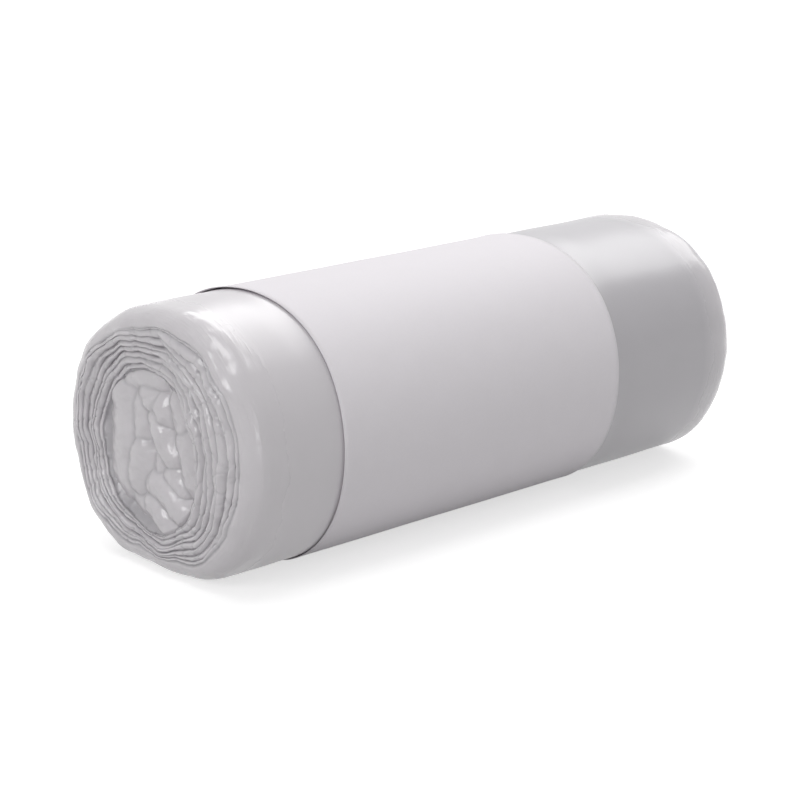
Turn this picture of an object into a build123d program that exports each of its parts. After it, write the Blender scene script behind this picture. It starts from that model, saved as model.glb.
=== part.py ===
from build123d import *
from math import cos, pi, sin
import os

# Coreless roll of thin plastic bin bags, lying on its side with a paper band round its middle.
#
# The bags are one long folded strip of film wound on itself with no tube inside, so the whole winding is one
# soft solid. It sags on to a flat spot, its rims are rounded where the film curls over, each end shows the
# spiral of the turns, and the eye in the middle has collapsed into a shallow pit. The band is one strip of
# paper whose ends lap and are glued together on the back of the roll.
#
# Millimetres. X runs along the roll, Z is up, and the origin is under the middle of the whole object.

# Roll
roll_length = 205.0
roll_radius = 42.0
sag = 4.4  # how far the soft winding's middle has sunk on to the flat spot
axis_height = roll_radius - sag
oval = 0.036  # share of the radius by which the section is wider than it is tall
lean = -0.018  # share by which the oval leans over
squareness = -0.013  # share by which the section is fuller towards its corners
spot_blend = 14.0  # radius between the flat spot and the sides
rim_round = 4.5  # radius of the curled film at both rims

# Turns that show at the ends
rim_wall = 0.6  # flat film left between the curled rim and the first groove, over the flat spot
turn_pitch = 1.7  # from one groove to the next, at least
groove_width = 0.7
groove_depth = 2.2
eye_radius = 21.0
eye_depth = 6.0
eye_shift = 12.0  # how far a turn of no radius would lie towards the back: the turns are off centre
eye_folds = 5  # folds that the collapsed eye has fallen into
eye_fold_share = 0.12  # how deep those folds are, as a share of the eye's radius
eye_wall = 1.5  # film between the eye and the innermost groove

# Paper band
band_start = 32.8  # from the roll's first end
band_width = 114.0
paper_thickness = 0.25
band_gap = 0.15  # air between the film and the paper
lap_width = 14.0
lap_angle = 42.0  # degrees above the horizontal, on the back of the roll

# Drawing settings
outline_points = 24
full_turn = 2 * pi


def shape_share(angle):
    """Radius of the winding at an angle from +Y, as a share of its mean radius."""
    return 1 + oval * cos(2 * angle) + lean * sin(2 * angle) + squareness * cos(4 * angle)


def section(grow, floor):
    """Section of the winding, grown outwards by grow, and cut flat at the height floor."""
    radius = roll_radius + grow
    points = []
    for step in range(outline_points):
        angle = full_turn * step / outline_points
        reach = radius * shape_share(angle)
        points.append((reach * cos(angle), axis_height + reach * sin(angle)))
    whole = make_face(Spline(*points, periodic=True))
    below = Pos(0, floor - radius) * Rectangle(4 * radius, 2 * radius)
    cut = whole - below
    corners = cut.vertices().filter_by(lambda corner: abs(corner.Y - floor) < 1e-3)
    return fillet(corners, spot_blend + grow)


def along_roll(face, start, length):
    """Extrudes a face drawn across the roll, from start on along the roll's axis."""
    across = Plane(origin=(start, 0, 0), x_dir=(0, 1, 0), z_dir=(1, 0, 0))
    return extrude(across * face, length)


def turn_point(angle, radius):
    """Point of a turn of the given mean radius: its lower half squashed, and shifted towards the back."""
    share = radius / roll_radius
    reach = roll_radius * shape_share(angle)
    squash = axis_height / roll_radius if sin(angle) < 0 else 1
    across = reach * cos(angle) * share + eye_shift * (1 - share)
    return across, axis_height + reach * sin(angle) * share * squash


def groove_side(start_radius, end_radius, turns):
    """One side of the spiral groove: arcs of a quarter turn, each through three points of the turns."""
    arcs = []
    for quarter in range(4 * turns):
        points = []
        for turned in (quarter, quarter + 0.5, quarter + 1):
            radius = start_radius + (end_radius - start_radius) * turned / (4 * turns)
            points.append(turn_point(turned * full_turn / 4, radius))
        arcs.append(ThreePointArc(*points))
    return arcs


def groove_face():
    """Narrow spiral between neighbouring turns, as a face that winds inwards from the rim to the eye."""
    outermost = roll_radius - (rim_round + rim_wall) * roll_radius / axis_height
    innermost = eye_radius * (1 + eye_fold_share) + eye_wall + groove_width
    turns = int((outermost - innermost) / turn_pitch)
    outside = groove_side(outermost, innermost, turns)
    inside = groove_side(outermost - groove_width, innermost - groove_width, turns)
    closing = [Line(outside[0] @ 0, inside[0] @ 0), Line(outside[-1] @ 1, inside[-1] @ 1)]
    return make_face(outside + inside + closing)


def eye_face():
    """Outline of the collapsed eye, with shallow folds round it."""
    points = []
    for step in range(2 * eye_folds):
        angle = full_turn * step / (2 * eye_folds)
        radius = eye_radius * (1 + eye_fold_share * (-1) ** step)
        points.append(turn_point(angle, radius))
    return make_face(Spline(*points, periodic=True))


def make_bag_roll():
    """The winding: an end on the floor, a stretch under the band, and the other end on the floor."""
    band_end = band_start + band_width
    under_paper = paper_thickness + band_gap
    free = section(0, 0)
    banded = section(0, under_paper)
    winding = along_roll(banded, 0, roll_length)
    winding += along_roll(free, 0, band_start - band_gap)
    winding += along_roll(free, band_end + band_gap, roll_length - band_end - band_gap)
    ends = winding.faces().filter_by(Axis.X)
    first = ends.sort_by(Axis.X)[0]
    last = ends.sort_by(Axis.X)[-1]
    winding = fillet(first.edges() + last.edges(), rim_round)
    groove = groove_face()
    eye = eye_face()
    for start, sense in ((0, 1), (roll_length, -1)):
        winding -= along_roll(groove, start, sense * groove_depth)
        winding -= along_roll(eye, start, sense * eye_depth)
    return winding


def make_paper_band():
    """One paper strip round the roll, twice as thick where its ends are glued over each other."""
    inner = section(band_gap, paper_thickness)
    outer = section(band_gap + paper_thickness, 0)
    band = along_roll(outer - inner, band_start, band_width)
    doubled = section(band_gap + 2 * paper_thickness, -paper_thickness) - outer
    reach = 2 * roll_radius
    window = Pos(reach / 2, 0) * Rectangle(reach, lap_width)
    window = Pos(0, axis_height) * Rot(0, 0, lap_angle) * window
    lap = along_roll(doubled & window, band_start, band_width)
    return band + lap


def main():
    pieces = {"bag_roll": make_bag_roll(), "paper_band": make_paper_band()}
    boxes = [piece.bounding_box() for piece in pieces.values()]
    low = min(box.min.Y for box in boxes)
    high = max(box.max.Y for box in boxes)
    middle = Pos(-roll_length / 2, -(low + high) / 2, 0)
    os.makedirs("parts", exist_ok=True)
    for name, piece in pieces.items():
        export_step(middle * piece, f"parts/{name}.step")


main()
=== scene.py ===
# %% [markdown]
# # A coreless roll of bin bags in a paper band
#
# The real thing is one long strip of thin, milky film, folded lengthwise and wound on itself with no
# tube inside. A strip of white paper, glued at the back, keeps it shut. Film that is wound with
# nothing inside it goes soft: the roll sags on to a flat spot, its rims curl over, and its ends
# crumple. Most of this lesson is about that crumpled film.
#
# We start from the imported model, which gives every size and place in metres. X runs along the roll, Z
# is up, and the origin lies under the middle of the roll.

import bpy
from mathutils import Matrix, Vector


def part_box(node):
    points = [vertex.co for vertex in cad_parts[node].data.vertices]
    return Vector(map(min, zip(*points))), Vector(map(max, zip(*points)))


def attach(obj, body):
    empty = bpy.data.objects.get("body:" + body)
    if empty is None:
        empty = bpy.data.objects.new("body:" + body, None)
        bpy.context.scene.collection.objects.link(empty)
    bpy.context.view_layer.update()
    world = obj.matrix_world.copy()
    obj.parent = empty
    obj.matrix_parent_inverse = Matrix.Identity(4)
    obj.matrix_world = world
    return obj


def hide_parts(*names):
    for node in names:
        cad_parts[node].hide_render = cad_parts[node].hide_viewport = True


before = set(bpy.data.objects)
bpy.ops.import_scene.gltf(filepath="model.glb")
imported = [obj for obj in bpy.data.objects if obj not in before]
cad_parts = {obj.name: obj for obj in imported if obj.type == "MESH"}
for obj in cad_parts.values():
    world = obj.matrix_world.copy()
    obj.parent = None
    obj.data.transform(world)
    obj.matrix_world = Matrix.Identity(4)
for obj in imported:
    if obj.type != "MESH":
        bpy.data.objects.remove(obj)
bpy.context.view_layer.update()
print("nodes:", sorted(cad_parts))

# %% Tools used all the way through
from math import cos, exp, pi, radians, sin, sqrt

import bmesh
import bpy
from mathutils import Vector, noise

mm = 0.001
full_turn = 2 * pi
scene = bpy.context.scene

# %% [markdown]
# ## The shape that everything is wrapped round
#
# The outline of the winding is almost a circle: a little wider than tall, leaning slightly, fuller
# towards its corners, and flat where it rests on the table. One function gives that outline, so the
# film and the paper can both follow it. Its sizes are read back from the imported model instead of
# being typed in again.

# %% Sizes of the winding
roll_low, roll_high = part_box("bag_roll")
band_low, band_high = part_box("paper_band")

oval = 0.036
lean = -0.018
squareness = -0.013
mean_radius = (roll_high.y - roll_low.y) / 2 / (1 + oval + squareness)
axis_height = roll_high.z - mean_radius * (1 - oval + squareness)
floor_softness = 1.2 * mm  # how gently the outline turns on to its flat spot
half_length = (roll_high.x - roll_low.x) / 2
band_middle = (band_low.x + band_high.x) / 2
print("mean radius", round(mean_radius / mm, 2), "mm, axis height", round(axis_height / mm, 2), "mm")


# %% The outline as a function
def outline(angle, grow=0.0):
    """Y and height above the axis of the winding's surface, at an angle from +Y."""
    share = 1 + oval * cos(2 * angle) + lean * sin(2 * angle) + squareness * cos(4 * angle)
    reach = mean_radius * share + grow
    height = reach * sin(angle)
    above_floor = height + axis_height
    rounded = (above_floor + sqrt(above_floor * above_floor + floor_softness * floor_softness)) / 2
    return reach * cos(angle), rounded - axis_height


print("top of the outline", round((outline(pi / 2)[1] + axis_height) / mm, 2), "mm")


# %% [markdown]
# ## Two small helpers for film that isn't smooth
#
# Blender's noise functions give a smooth random number for every point in space. Asking for it at
# points that are divided by a size makes lumps of that size. Because the value depends only on the
# place, neighbouring layers of film move together and don't cut through each other. Blender shifts
# its noise directions by a random amount each time it starts, so they get a fixed seed first, and
# every run gives the same roll.

# %% Noise helpers
noise.seed_set(1)


def lumps(point, size, seed):
    """A smooth random number from about -1 to 1, with lumps of the given size."""
    return noise.noise(point / size + Vector((7.3 * seed, 1.9 * seed, 3.1 * seed)))


def push(point, size, seed):
    """A smooth random direction, with lumps of the given size."""
    return noise.noise_vector(point / size + Vector((5.7 * seed, 2.3 * seed, 8.9 * seed)))


def ease(value, low, high):
    """0 below low, 1 above high, and a smooth slope between them."""
    share = min(max((value - low) / (high - low), 0.0), 1.0)
    return share * share * (3 - 2 * share)


print("noise at the origin", round(lumps(Vector((0, 0, 0)), 1.0, 1), 3))

# %% [markdown]
# ## The film: one sheet for each half of the roll
#
# Each half is made from one flat grid. Its columns go round the roll, and its rows go along the side,
# over the curled rim, across the turns that show at the end, and down into the eye in the middle. The
# rows that cross the turns are cut on the spiral: going once round, each row slips inwards by one
# turn, so at the seam it meets the row of the next turn. Welding the seam then gives a true spiral,
# with no step in it.
#
# Every turn of film ends in a soft fold that stands up like a lip, with a sharp crease on both sides.
# The lips differ in height and width all the way along the strip, which is what makes an end look
# wound and not turned on a lathe.

# %% Settings of the film
columns = 420
turn_rows = (0.0, 0.03, 0.1, 0.22, 0.38, 0.55, 0.72, 0.86, 0.95)
rim_depth = 7.5 * mm
rim_inset = 6.0 * mm
rim_steps = 16
pit_steps = 8
plain_stretch = 56 * mm  # from the middle of the band, where the film needs no rows of its own
fine_zone = 16 * mm  # from the end, where the rows lie closer together
fine_row = 0.7 * mm
coarse_row = 1.3 * mm

# The turns at an end, in millimetres and in radians along the strip
end_start = 0.4  # depth of the outermost turn behind the end
end_hollow = 3.0  # how much deeper the innermost turn lies
hollow_power = 1.6
edge_wander = 0.42  # share of a turn's width by which its edge wanders
edge_size = 0.9
crease_depth, crease_spread, crease_size = 0.3, 1.6, 1.3
lip_height, lip_spread, lip_size = 1.4, 1.6, 0.8
lip_tilt, tilt_spread, tilt_size = 0.35, 0.5, 1.7
lip_width_share = 0.5  # a lip is never higher than this share of its turn's width
lip_fullness = 0.6
pit_start = 3.2 * mm
pit_depth = 9.0 * mm

# Each eye: Y and height of its middle over the axis, half width and half height
ends = {
    "near": {
        "sense": -1, "turns": 7, "seed": 1, "crumple": 1.0,
        "eye": (6.0 * mm, -3.3 * mm, 21.5 * mm, 24.0 * mm),
    },
    "far": {
        "sense": 1, "turns": 8, "seed": 5, "crumple": 0.8,
        "eye": (5.0 * mm, -1.5 * mm, 20.0 * mm, 21.0 * mm),
    },
}
print("turns that show:", {name: end["turns"] for name, end in ends.items()})


# %% Rows from the middle of the roll to the eye
def film_rows(side_length, turns):
    """The zone and the place in it of every row of the grid."""
    rows = [("side", side_length)]
    depth = side_length - plain_stretch
    while depth > rim_depth:
        rows.append(("side", depth))
        depth -= fine_row if depth < fine_zone else coarse_row
    rows += [("rim", step / rim_steps) for step in range(rim_steps)]
    for turn in range(turns + 1):
        rows += [("turn", turn + place) for place in turn_rows]
    rows += [("pit", step / pit_steps) for step in range(pit_steps + 1)]
    return rows


print("rows in the near half:", len(film_rows(half_length + band_middle, ends["near"]["turns"])))


# %% The spiral
def turn_edge(turn, angle, turns):
    """How far across the end the edge of a turn lies, from 0 at the rim to 1 at the eye."""
    return min(max((turn - 1 + angle / full_turn) / turns, 0.0), 1.0)


def ribbon_noise(turn, angle, size, seed):
    """A smooth random number that runs on along the strip from turn to turn."""
    along = full_turn * (turn - 1) + angle
    return noise.noise(Vector((along / size, 11.7 * seed, 0.5)))


print("edge of turn 3, half way round:", round(turn_edge(3, pi, ends["near"]["turns"]), 3))


# %% Where a row meets a column
def film_point(zone, place, angle, end):
    """Depth behind the end, Y, height over the axis, and how high the film stands there, from 0 to 1,
    which also sets its painted shade.
    """
    eye_y, eye_z, eye_width, eye_height = end["eye"]
    side_y, side_z = outline(angle)
    if zone == "side":
        return place, side_y, side_z, 1.0
    keep = 1 - rim_inset / mean_radius
    if zone == "rim":
        tilt = place * pi / 2
        share = keep + (1 - keep) * cos(tilt)
        return rim_depth * (1 - sin(tilt)), side_y * share, side_z * share, 1.0
    inner_y = eye_y + eye_width * cos(angle)
    inner_z = eye_z + eye_height * sin(angle)
    if zone == "pit":
        shrink = 1.0 - 0.25 * ease(place, 0.0, 0.5) - 0.75 * ease(place, 0.5, 1.0)
        depth = pit_start + (pit_depth - pit_start) * ease(place, 0.0, 0.55)
        # The pit's last value, 0.1, is painted shade that darkens the recess.
        return depth, eye_y + (inner_y - eye_y) * shrink, eye_z + (inner_z - eye_z) * shrink, 0.1
    turn = int(place)
    within = place - turn
    turns, seed = end["turns"], end["seed"]
    edges, creases = [], []
    for number in (turn, turn + 1):
        edge = turn_edge(number, angle, turns)
        freedom = min(edge * turns, (1 - edge) * turns, 1.0)
        edges.append(edge + edge_wander / turns * freedom * ribbon_noise(number, angle, edge_size, seed))
        uneven = crease_depth + crease_spread * ribbon_noise(number, angle, crease_size, seed + 1)
        creases.append(uneven * mm * freedom)
    across = edges[0] + (edges[1] - edges[0]) * within
    start = Vector((side_y * keep, side_z * keep))
    finish = Vector((inner_y, inner_z))
    width = (edges[1] - edges[0]) * (finish - start).length
    proud = max(sin(pi * within), 0.0) ** lip_fullness
    tall = (lip_height + lip_spread * ribbon_noise(turn, angle, lip_size, seed + 2)) * mm
    lip = min(lip_width_share * width, tall)
    tilt = lip_tilt + tilt_spread * ribbon_noise(turn, angle, tilt_size, seed + 3)
    flat = start.lerp(finish, across) + (finish - start).normalized() * tilt * lip * proud
    crease = creases[0] + (creases[1] - creases[0]) * within
    depth = crease - lip * proud + end_start * mm + end_hollow * mm * across ** hollow_power
    # The last value is painted shade: low at the bottom of a crease, full on top of a fold.
    return depth, flat.x, flat.y, 0.15 + 0.85 * proud


print("first fold:", [round(value / mm, 2) for value in film_point("turn", 3.4, 1.0, ends["near"])[:3]])


# %% Crumpling
crumple_steps = ((12, 1.5), (5, 0.55), (2.1, 0.14))  # size of the lumps and how far they move, in mm
facet_size = 7 * mm
facet_bend = 0.6
fold_width = 0.06  # of the sharp folds between facets, as a share of a facet
fold_depth = 0.3


def crumple(point, loose, end):
    """Moves a point of the film as the crumpled layers round it moved. loose is 0 on the tight side.

    Gives the moved point, and 1 where it lies in a sharp fold.
    """
    seed = end["seed"]
    moved = Vector()
    for number, (size, reach) in enumerate(crumple_steps):
        moved += push(point, size * mm, seed + number) * reach * mm
    bend = push(point, 6 * mm, seed + len(crumple_steps)) * facet_bend
    distances = noise.voronoi(point / facet_size + bend)[0]
    fold = exp(-(((distances[1] - distances[0]) / fold_width) ** 2)) * ease(loose, 0.5, 1.0)
    moved.x -= end["sense"] * fold_depth * mm * fold
    return point + moved * loose * end["crumple"], fold * loose


print("crumpled by", round(crumple(Vector((0, 0, 0)), 1.0, ends["near"])[0].length / mm, 2), "mm")


# %% Unevenness of the side
def side_swell(along, angle, depth, seed):
    """How far the film on the side stands out: slack near the rims, and drawn in beside the band."""
    ring = Vector((along, mean_radius * cos(angle), mean_radius * sin(angle)))
    swell = 0.28 * mm * lumps(ring, 24 * mm, seed)
    stretched = Vector((along / (1.6 * mm), 2.2 * cos(angle), 2.2 * sin(angle)))
    swell += 0.16 * mm * exp(-depth / (7 * mm)) * noise.noise(stretched + Vector((0, 0, 3 * seed)))
    beside_band = max(band_low.x - along, along - band_high.x)
    swell -= 0.25 * mm * exp(-((beside_band - 3 * mm) / (5 * mm)) ** 2)
    under_band = 1 - ease(beside_band, -1.0 * mm, 0.4 * mm)
    return swell * (1 - under_band) - 0.15 * mm * under_band


print("swell near the rim:", round(side_swell(-0.1, 1.0, 0.002, 1) / mm, 3), "mm")


# %% [markdown]
# ### From a grid to film
#
# `create_grid` gives the flat sheet with its rows and columns. Each vertex already knows, from where
# it lies in the grid, which row and column it is on, so a loop can send it to its place on the roll.
# The value kept on the vertices as an attribute runs from 0 at the bottom of a crease to 1 on top of
# a fold. The material reads it later to paint shade: the film's colour turns greyer in the creases,
# where layers shut the light out.

# %% The half rolls
rim_looseness = 0.55
loose_zone = 13 * mm  # the side's last stretch, where the film begins to crumple
floor_gap = 0.05 * mm
paper_room = 0.35 * mm  # by which the film under the band lies higher, to leave room for the paper
fold_shade = 0.3  # how much painted shade greys a sharp fold
weld_distance = 0.002 * mm


def make_film_half(name, end):
    """One half of the winding, from the middle under the paper to the bottom of the eye."""
    sense = end["sense"]
    side_length = half_length - sense * band_middle
    rows = film_rows(side_length, end["turns"])
    sheet = bmesh.new()
    bmesh.ops.create_grid(sheet, x_segments=columns, y_segments=len(rows) - 1, size=1.0)
    proud_and_lit_layer = sheet.verts.layers.float.new("proud")
    for vertex in sheet.verts:
        column = round((vertex.co.x + 1) / 2 * columns)
        row = round((vertex.co.y + 1) / 2 * (len(rows) - 1))
        angle = full_turn * column / columns
        zone, place = rows[row]
        depth, across, up, proud = film_point(zone, place, angle, end)
        loose = 1.0
        if zone in ("side", "rim"):
            along = sense * (half_length - depth)
            reach = sqrt(across * across + up * up)
            swell = side_swell(along, angle, depth, end["seed"])
            across += swell * across / reach
            up += swell * up / reach
            loose = rim_looseness * ease(-depth, -loose_zone, 1 * mm)
        point = Vector((sense * (half_length - depth), across, up))
        point, fold = crumple(point, loose, end)
        beside_band = max(band_low.x - point.x, point.x - band_high.x)
        lowest = floor_gap + paper_room * (1 - ease(beside_band, 0.0, 1.5 * mm))
        point.z = max(point.z + axis_height, lowest)
        vertex.co = point
        # Painted shade: the attribute darkens the creases, the pit and the sharp folds.
        vertex[proud_and_lit_layer] = max(proud - fold_shade * fold, 0.0)
    bmesh.ops.remove_doubles(sheet, verts=sheet.verts, dist=weld_distance)
    bmesh.ops.recalc_face_normals(sheet, faces=sheet.faces)
    for face in sheet.faces:
        face.smooth = True
    mesh = bpy.data.meshes.new(name)
    sheet.to_mesh(mesh)
    sheet.free()
    half = bpy.data.objects.new(name, mesh)
    scene.collection.objects.link(half)
    return half


film_halves = {}
for side in ends:
    film_halves[side] = make_film_half("film_" + side, ends[side])
    print(film_halves[side].name, len(film_halves[side].data.polygons), "faces")

# %% [markdown]
# ## The collapsed eye
#
# In the middle there is no tube, so the innermost turns have fallen together into soft puffs,
# squeezed against each other. A puff can be drawn as a short line with a rounded hill over it. Where
# several hills meet, taking the highest one leaves a sharp crease between them, which is just how two
# puffs of film meet. Each puff below is given by the two ends of its line, its half width and how
# high its top lies under the end of the roll.

# %% The puffs
# (y, z) of one end, (y, z) of the other, half width, depth of the top, all in millimetres from the axis
near_puffs = (
    ((18.5, 11.0), (18.0, -12.0), 8.5, 1.6),
    ((10.5, 10.0), (11.0, -1.0), 5.0, 2.6),
    ((7.3, 13.5), (5.5, 11.5), 4.2, 2.2),
    ((2.5, 11.0), (0.5, 8.5), 4.0, 2.0),
    ((-4.5, 13.0), (-7.0, 8.0), 4.0, 3.0),
    ((3.0, 6.0), (-2.5, -3.5), 3.8, 1.9),
    ((-8.5, 4.0), (-10.5, -8.0), 6.0, 3.4),
    ((10.5, -4.5), (12.5, -12.0), 5.2, 1.5),
    ((3.0, -5.0), (4.0, -9.0), 3.6, 3.4),
    ((4.5, -12.5), (-7.0, -19.0), 4.4, 1.2),
    ((-2.0, -9.0), (-6.0, -12.0), 3.6, 2.8),
    ((6.0, -19.0), (-2.5, -25.5), 3.6, 1.4),
    ((14.0, -16.5), (8.5, -20.0), 4.5, 3.4),
    ((15.0, 17.0), (4.0, 19.0), 4.0, 3.0),
)
far_puffs = (
    ((14.0, 9.0), (15.0, -9.0), 8.0, 2.0),
    ((4.0, 13.0), (-6.0, 10.0), 6.0, 2.4),
    ((6.0, 4.0), (3.0, -6.0), 5.0, 1.8),
    ((-7.0, 4.0), (-8.0, -8.0), 6.0, 2.6),
    ((6.0, -13.0), (-4.0, -16.0), 5.0, 2.0),
    ((12.0, 16.0), (6.0, 17.0), 4.5, 3.0),
    ((15.0, -15.0), (9.0, -18.0), 4.5, 3.0),
)
eye_puffs = {"near": near_puffs, "far": far_puffs}
print(len(near_puffs), "puffs in the near eye and", len(far_puffs), "in the far one")


# %% Height of the puffs
def puff_depth(y, z, puffs):
    """Depth of the highest puff at a place, and how near that place is to a crease."""
    here = Vector((y, z))
    tops = []
    for first, second, half_width, top in puffs:
        start = Vector(first) * mm
        line = Vector(second) * mm - start
        share = min(max((here - start).dot(line) / line.length_squared, 0.0), 1.0)
        away = (here - start - line * share).length / (half_width * mm)
        tops.append(top * mm + 0.42 * half_width * mm * (away ** 2.2) + 0.5 * mm * abs(share - 0.5))
    tops.sort()
    return min(tops[0], 5.5 * mm), ease(tops[1] - tops[0], 0.0, 1.0 * mm)


print("depth at the axis:", round(puff_depth(0, 0, near_puffs)[0] / mm, 2), "mm")


# %% The crumpled cores
core_segments = 190
core_tuck = 1.05  # how far the core reaches under the innermost fold, as a share of the eye
core_looseness = 0.45
crease_shade = 0.45  # painted shade: the share of light that the colour keeps in the creases between puffs


def make_core(name, end, puffs):
    """The fallen turns in the eye, as one puffed sheet tucked under the innermost fold."""
    eye_y, eye_z, eye_width, eye_height = end["eye"]
    sheet = bmesh.new()
    bmesh.ops.create_grid(sheet, x_segments=core_segments, y_segments=core_segments, size=1.0)
    proud_and_lit_layer = sheet.verts.layers.float.new("proud")
    for vertex in sheet.verts:
        u = vertex.co.x * sqrt(1 - vertex.co.y ** 2 / 2)
        v = vertex.co.y * sqrt(1 - vertex.co.x ** 2 / 2)
        edge = sqrt(u * u + v * v)
        y = eye_y + u * eye_width * core_tuck
        z = eye_z + v * eye_height * core_tuck
        flat = Vector((0.0, y, z))
        bent = push(flat, 9 * mm, end["seed"] + 4) * 1.4 * mm
        bent += push(flat, 3.5 * mm, end["seed"] + 5) * 0.5 * mm
        depth, open_share = puff_depth(y + bent.y, z + bent.z, puffs)
        wrinkle = push(flat, 2.2 * mm, end["seed"] + 6).x
        depth += 0.22 * mm * wrinkle + 2.0 * mm * ease(edge, 0.92, 1.0)
        point = Vector((end["sense"] * (half_length - depth), y, z))
        point = crumple(point, core_looseness, end)[0]
        point.z += axis_height
        vertex.co = point
        # Painted shade: the attribute darkens the creases between puffs.
        vertex[proud_and_lit_layer] = crease_shade + (1 - crease_shade) * open_share
    bmesh.ops.recalc_face_normals(sheet, faces=sheet.faces)
    for face in sheet.faces:
        face.smooth = True
    if sum(face.normal.x * end["sense"] for face in sheet.faces) < 0:
        bmesh.ops.reverse_faces(sheet, faces=sheet.faces)
    mesh = bpy.data.meshes.new(name)
    sheet.to_mesh(mesh)
    sheet.free()
    core = bpy.data.objects.new(name, mesh)
    scene.collection.objects.link(core)
    return core


cores = {}
for side in ends:
    cores[side] = make_core("core_" + side, ends[side], eye_puffs[side])
    print(cores[side].name, len(cores[side].data.polygons), "faces")

# %% [markdown]
# ## The paper band
#
# The band is a single strip of matt paper, wrapped round and glued over itself at the back. Paper
# doesn't cling as film does: its edges stand off a little, most of all on top, which draws a thin
# dark line beside the film. A grid is rolled up, its two long ends are left lapping over each other,
# and Solidify gives it the thickness of paper.

# %% Settings of the paper
paper_thickness = 0.25 * mm
paper_gap = 0.15 * mm
lap_angle = radians(42)
lap_share = 14 * mm / (full_turn * mean_radius)
edge_curl = 2.2 * mm  # how far in from its edges the paper stands off
edge_lift = 0.26 * mm
paper_wave = 0.08 * mm
band_columns = 360
band_rows = 60


# %% The paper strip
def make_paper_band():
    """The strip, once round the roll and a little more, with edges that lift off the film."""
    strip = bmesh.new()
    bmesh.ops.create_grid(strip, x_segments=band_columns, y_segments=band_rows, size=1.0)
    width = band_high.x - band_low.x
    for vertex in strip.verts:
        wound = (vertex.co.x + 1) / 2 * (1 + lap_share)
        angle = lap_angle - full_turn * lap_share / 2 + full_turn * wound
        along = band_middle + vertex.co.y * width / 2
        from_edge = (1 - abs(vertex.co.y)) * width / 2
        lift = exp(-from_edge / edge_curl)
        ring = Vector((along, mean_radius * cos(angle), mean_radius * sin(angle)))
        loose = 0.55 + 0.45 * sin(angle) + 0.4 * lumps(ring, 18 * mm, 3)
        grow = paper_gap + 0.06 * mm + edge_lift * lift * max(loose, 0.0)
        grow += paper_wave * lumps(ring, 26 * mm, 4)
        grow += (paper_thickness + 0.05 * mm) * ease(wound, 1 - 0.3 * lap_share, 1 + 0.1 * lap_share)
        across, up = outline(angle, grow)
        vertex.co = Vector((along, across, max(up + axis_height, paper_thickness + 0.03 * mm)))
    bmesh.ops.recalc_face_normals(strip, faces=strip.faces)
    for face in strip.faces:
        face.smooth = True
    mesh = bpy.data.meshes.new("paper_wrap")
    strip.to_mesh(mesh)
    strip.free()
    band = bpy.data.objects.new("paper_wrap", mesh)
    scene.collection.objects.link(band)
    return band


paper_wrap = make_paper_band()
thicken = paper_wrap.modifiers.new("paper thickness", "SOLIDIFY")
thicken.thickness = paper_thickness
thicken.offset = 1.0
print(paper_wrap.name, len(paper_wrap.data.polygons), "faces before it gets its thickness")

# %% [markdown]
# ## Writing materials as sums
#
# A material is a tree of nodes. Long trees are easier to read as sums, so a small class wraps one
# output of a node and turns `+`, `-` and `*` into Math nodes. Colours and directions don't go through
# it: they use Mix and Vector Math nodes, which keep all their channels.

# %% A value that does sums
class Value:
    """One output of a node. Maths on it adds Math nodes to the material."""

    def __init__(self, finish, socket):
        self.finish = finish
        self.socket = socket

    def maths(self, operation, first, second=0.0):
        return self.finish.add("ShaderNodeMath", {"operation": operation}, {0: first, 1: second})

    def __add__(self, other):
        return self.maths("ADD", self, other)

    def __sub__(self, other):
        return self.maths("SUBTRACT", self, other)

    def __rsub__(self, other):
        return self.maths("SUBTRACT", other, self)

    def __mul__(self, other):
        return self.maths("MULTIPLY", self, other)

    def __truediv__(self, other):
        return self.maths("DIVIDE", self, other)

    def __pow__(self, other):
        return self.maths("POWER", self, other)

    __radd__ = __add__
    __rmul__ = __mul__


class Finish:
    """A material, with one method that adds any node."""

    def __init__(self, name):
        self.material = bpy.data.materials.new(name)
        self.material.use_nodes = True
        self.nodes = self.material.node_tree.nodes
        self.links = self.material.node_tree.links
        self.nodes.clear()

    def add(self, kind, settings, inputs, output=0):
        """Adds a node: its settings first, then the values or links of its sockets. Gives one output."""
        node = self.nodes.new(kind)
        for name, value in settings.items():
            if name == "stops":
                ramp = node.color_ramp
                ramp.elements[0].position, ramp.elements[0].color = value[0]
                ramp.elements[1].position, ramp.elements[1].color = value[-1]
                for position, colour in value[1:-1]:
                    ramp.elements.new(position).color = colour
            else:
                setattr(node, name, value)
        for name, value in inputs.items():
            if isinstance(value, Value):
                self.links.new(value.socket, node.inputs[name])
            else:
                node.inputs[name].default_value = value
        return Value(self, node.outputs[output])

    def mix_colours(self, factor, first, second):
        """Mix of two colours by a value from 0 to 1."""
        return self.add("ShaderNodeMix", {"data_type": "RGBA"}, {0: factor, 6: first, 7: second}, 2)

    def close(self, shader):
        """Joins the finished shader to the material's output."""
        output = self.nodes.new("ShaderNodeOutputMaterial")
        self.links.new(shader.socket, output.inputs["Surface"])
        return self.material


print("material tools are ready")


# %% [markdown]
# ## The film's finish
#
# Thin polythene in many layers is milky: light goes in, scatters between the layers and comes out
# again, so the folds are soft. Shade is painted into the colour: the film turns grey where it lies
# low, most of all in the deepest creases. On top lies a clear gloss. A stack of films reflects more
# than a single sheet of plastic, so the index of refraction is set a little higher than that of one
# sheet. Fine ripples run round the roll, because that is how the film was pulled as it was wound.
# They are a noise that is stretched round the axis and squeezed along it.

# %% Film
ripples_per_metre = 900
ripple_breaks = 6


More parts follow.
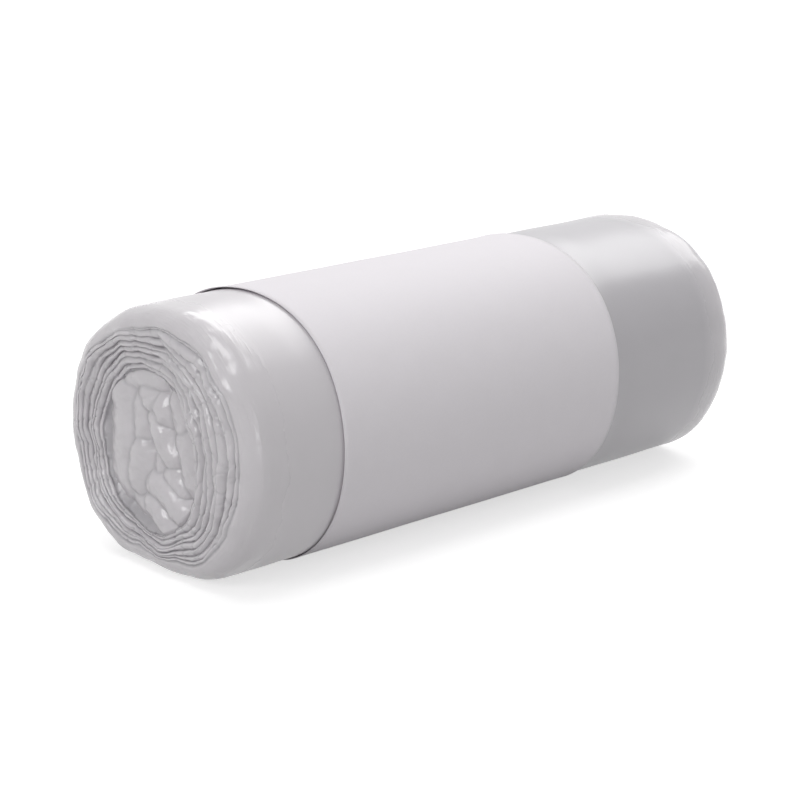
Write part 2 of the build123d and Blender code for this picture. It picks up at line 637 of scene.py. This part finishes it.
def make_film_finish():
    """Milky, glossy film with fine ripples that run round the roll, and painted shade in its creases."""
    finish = Finish("film")
    place = finish.add("ShaderNodeTexCoord", {}, {}, "Object")
    along = finish.add("ShaderNodeSeparateXYZ", {}, {0: place}, "X")
    across = finish.add("ShaderNodeSeparateXYZ", {}, {0: place}, "Y")
    height = finish.add("ShaderNodeSeparateXYZ", {}, {0: place}, "Z") - axis_height
    reach = (across * across + height * height + 1e-8) ** 0.5
    from_end = half_length - along.maths("ABSOLUTE", along)
    skin = from_end + reach
    comb = finish.add("ShaderNodeCombineXYZ", {}, {
        0: skin * ripples_per_metre, 1: across / reach * ripple_breaks, 2: height / reach * ripple_breaks,
    })
    combed = finish.add("ShaderNodeTexNoise", {"noise_type": "RIDGED_MULTIFRACTAL"}, {
        "Vector": comb, "Scale": 1.0, "Detail": 2.0, "Roughness": 0.6,
    })
    mottle = finish.add("ShaderNodeTexNoise", {}, {"Vector": place, "Scale": 90.0, "Detail": 4.0})
    crumpled = finish.add("ShaderNodeTexNoise", {}, {"Vector": place, "Scale": 700.0, "Detail": 3.0})
    proud = finish.add("ShaderNodeAttribute", {"attribute_name": "proud"}, {}, "Fac")
    side = finish.add("ShaderNodeMapRange", {}, {0: from_end, 1: 0.006, 2: 0.016})
    far = finish.add("ShaderNodeMapRange", {}, {0: along, 1: -0.06, 2: 0.05})
    pale = finish.mix_colours(far * side, (0.66, 0.635, 0.66, 1), (0.50, 0.485, 0.51, 1))
    # Painted shade: a greyer colour for low film, mixed in by the attribute, with a random mottle.
    painted_shade_colour = finish.mix_colours(mottle, (0.42, 0.405, 0.43, 1), (0.52, 0.505, 0.53, 1))
    shade = proud * 0.95 + mottle * 0.12 - 0.04
    colour = finish.mix_colours(shade.maths("MINIMUM", shade, 1.0), painted_shade_colour, pale)
    rough = 0.16 + mottle * 0.1 + side * 0.1
    ripples = combed * (1.0 - side * 0.95) + crumpled * 0.2 * (1.0 - side)
    bump = finish.add("ShaderNodeBump", {}, {"Strength": 0.35, "Distance": 0.0003, "Height": ripples})
    return finish.close(finish.add("ShaderNodeBsdfPrincipled", {}, {
        "Base Color": colour, "Roughness": rough, "Normal": bump, "IOR": 1.7,
        "Subsurface Weight": 0.3, "Subsurface Radius": (1.0, 0.95, 1.0), "Subsurface Scale": 0.0018,
    }))


film_finish = make_film_finish()
for piece in list(film_halves.values()) + list(cores.values()):
    piece.data.materials.append(film_finish)
print(film_finish.name, "has", len(film_finish.node_tree.nodes), "nodes")


# %% [markdown]
# ## The paper's finish
#
# The band is plain, unprinted paper: matt, very slightly mottled where the fibres lie thicker, with a
# faint tooth that only shows in the bump. It stays rough, so that it never picks up the shine that
# the film has.

# %% Paper
def make_paper_finish():
    """Matt white paper with faint fibres."""
    finish = Finish("paper")
    place = finish.add("ShaderNodeTexCoord", {}, {}, "Object")
    fibres = finish.add("ShaderNodeTexNoise", {}, {"Vector": place, "Scale": 1400.0, "Detail": 5.0})
    cloud = finish.add("ShaderNodeTexNoise", {}, {"Vector": place, "Scale": 120.0, "Detail": 3.0})
    shade = fibres * 0.5 + cloud * 0.5
    colour = finish.mix_colours(shade, (0.80, 0.77, 0.80, 1), (0.86, 0.83, 0.865, 1))
    bump = finish.add("ShaderNodeBump", {}, {"Strength": 0.15, "Distance": 0.0001, "Height": fibres})
    return finish.close(finish.add("ShaderNodeBsdfPrincipled", {}, {
        "Base Color": colour, "Roughness": 0.62 + cloud * 0.15, "Normal": bump, "IOR": 1.4,
    }))


paper_finish = make_paper_finish()
paper_wrap.data.materials.append(paper_finish)
print(paper_finish.name, "has", len(paper_finish.node_tree.nodes), "nodes")

# %% [markdown]
# ## Joining the looks to the imported model
#
# Each new piece is hung on the body it moves with, and the imported node that it stands for is
# hidden. Nothing on this roll moves, so that is always the root body.

# %% Pieces and nodes
for piece in list(film_halves.values()) + list(cores.values()):
    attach(piece, "root")
    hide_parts("bag_roll")
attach(paper_wrap, "root")
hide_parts("paper_band")
print("film and paper ride on the root body")

# %% [markdown]
# ## Camera
#
# The roll is seen from its crumpled end, a little from above, through a fairly long lens that keeps
# the far end nearly as large as the near one.

# %% Camera
view_turn = radians(-43.29)
view_rise = radians(15.58)
view_distance = 0.6863
camera_data = bpy.data.cameras.new("camera")
camera_data.lens = 99.6
camera = bpy.data.objects.new("camera", camera_data)
scene.collection.objects.link(camera)
backwards = Vector((sin(view_turn) * cos(view_rise), -cos(view_turn) * cos(view_rise), sin(view_rise)))
rightwards = Vector((cos(view_turn), sin(view_turn), 0))
upwards = backwards.cross(rightwards)
aim = Vector((0, 0, 42 * mm)) - rightwards * 5.71 * mm - upwards * 9.74 * mm
camera.location = aim + backwards * view_distance
camera.rotation_euler = (-backwards).to_track_quat("-Z", "Y").to_euler()
scene.camera = camera
scene.view_settings.view_transform = "Standard"
print("camera at", [round(value, 4) for value in camera.location])

# %% [markdown]
# ## Light
#
# Soft light comes from a wide panel above the far end and a square one overhead. The film shows their
# lower edge as the line where the shine stops. Two smaller panels, one before the near end and one in
# front, pick out its folds. The world fills in from all sides, and looks brighter to the camera and
# in reflections than it lights.


# %% Lamps and world
def make_panel(name, place, width, height, radiance):
    """A rectangular lamp that faces the roll."""
    data = bpy.data.lights.new(name, "AREA")
    data.shape = "RECTANGLE"
    data.size = width
    data.size_y = height
    data.energy = radiance * pi * width * height
    panel = bpy.data.objects.new(name, data)
    scene.collection.objects.link(panel)
    panel.location = place
    towards_roll = Vector((0, 0, axis_height)) - Vector(place)
    panel.rotation_euler = towards_roll.to_track_quat("-Z", "Y").to_euler()
    return panel


make_panel("top panel", (0.86, 0.34, 0.95), 1.4, 0.6, 3.0)
make_panel("overhead panel", (-0.25, -0.1, 1.2), 0.55, 0.55, 3.2)
make_panel("end panel", (-1.15, -0.1, 0.65), 0.5, 0.5, 4.0)
make_panel("front panel", (-0.5, -1.3, 0.25), 0.25, 0.35, 4.0)

world_light = 0.4
world_seen = 1.0
world = bpy.data.worlds.new("studio")
scene.world = world
world.use_nodes = True
world_nodes = world.node_tree.nodes
world_links = world.node_tree.links
rays = world_nodes.new("ShaderNodeLightPath")
seen = world_nodes.new("ShaderNodeMath")
seen.operation = "MAXIMUM"
world_links.new(rays.outputs["Is Camera Ray"], seen.inputs[0])
world_links.new(rays.outputs["Is Glossy Ray"], seen.inputs[1])
seen_through = world_nodes.new("ShaderNodeMath")
seen_through.operation = "MAXIMUM"
world_links.new(seen.outputs[0], seen_through.inputs[0])
world_links.new(rays.outputs["Is Transmission Ray"], seen_through.inputs[1])
level = world_nodes.new("ShaderNodeMapRange")
world_links.new(seen_through.outputs[0], level.inputs[0])
level.inputs[3].default_value = world_light
level.inputs[4].default_value = world_seen
world_links.new(level.outputs[0], world_nodes["Background"].inputs["Strength"])
world_nodes["Background"].inputs["Color"].default_value = (1, 1, 1, 1)

# %% [markdown]
# ## Floor
#
# A white floor runs out past the edges of the picture. It is a diffuse white that takes the roll's
# shadow, with a glow that only the camera and reflections see, and that is stronger further away,
# where the lamps no longer reach.


# %% White floor
glow_from, glow_to = 0.15, 1.2  # metres from the roll, where the glow begins to grow and is at its full


def make_floor():
    """A large white floor under the roll."""
    sheet = bmesh.new()
    bmesh.ops.create_grid(sheet, x_segments=8, y_segments=8, size=6.0)
    mesh = bpy.data.meshes.new("floor")
    sheet.to_mesh(mesh)
    sheet.free()
    floor = bpy.data.objects.new("floor", mesh)
    scene.collection.objects.link(floor)
    floor.location.z = -0.05 * mm
    finish = Finish("white floor")
    place = finish.add("ShaderNodeTexCoord", {}, {}, "Object")
    away = finish.add("ShaderNodeVectorMath", {"operation": "LENGTH"}, {0: place}, "Value")
    camera_ray = finish.add("ShaderNodeLightPath", {}, {}, "Is Camera Ray")
    glossy_ray = finish.add("ShaderNodeLightPath", {}, {}, "Is Glossy Ray")
    through_ray = finish.add("ShaderNodeLightPath", {}, {}, "Is Transmission Ray")
    seen_ray = camera_ray.maths("MAXIMUM", camera_ray, glossy_ray)
    seen_ray = camera_ray.maths("MAXIMUM", seen_ray, through_ray)
    glow = finish.add("ShaderNodeMapRange", {}, {0: away, 1: glow_from, 2: glow_to, 3: 0.62, 4: 1.0})
    diffuse = finish.add("ShaderNodeBsdfDiffuse", {}, {"Color": (0.6, 0.6, 0.6, 1)})
    shine = finish.add("ShaderNodeEmission", {}, {"Color": (1, 1, 1, 1), "Strength": glow * seen_ray})
    mesh.materials.append(finish.close(finish.add("ShaderNodeAddShader", {}, {0: diffuse, 1: shine})))
    return floor


floor = make_floor()
print("floor laid")
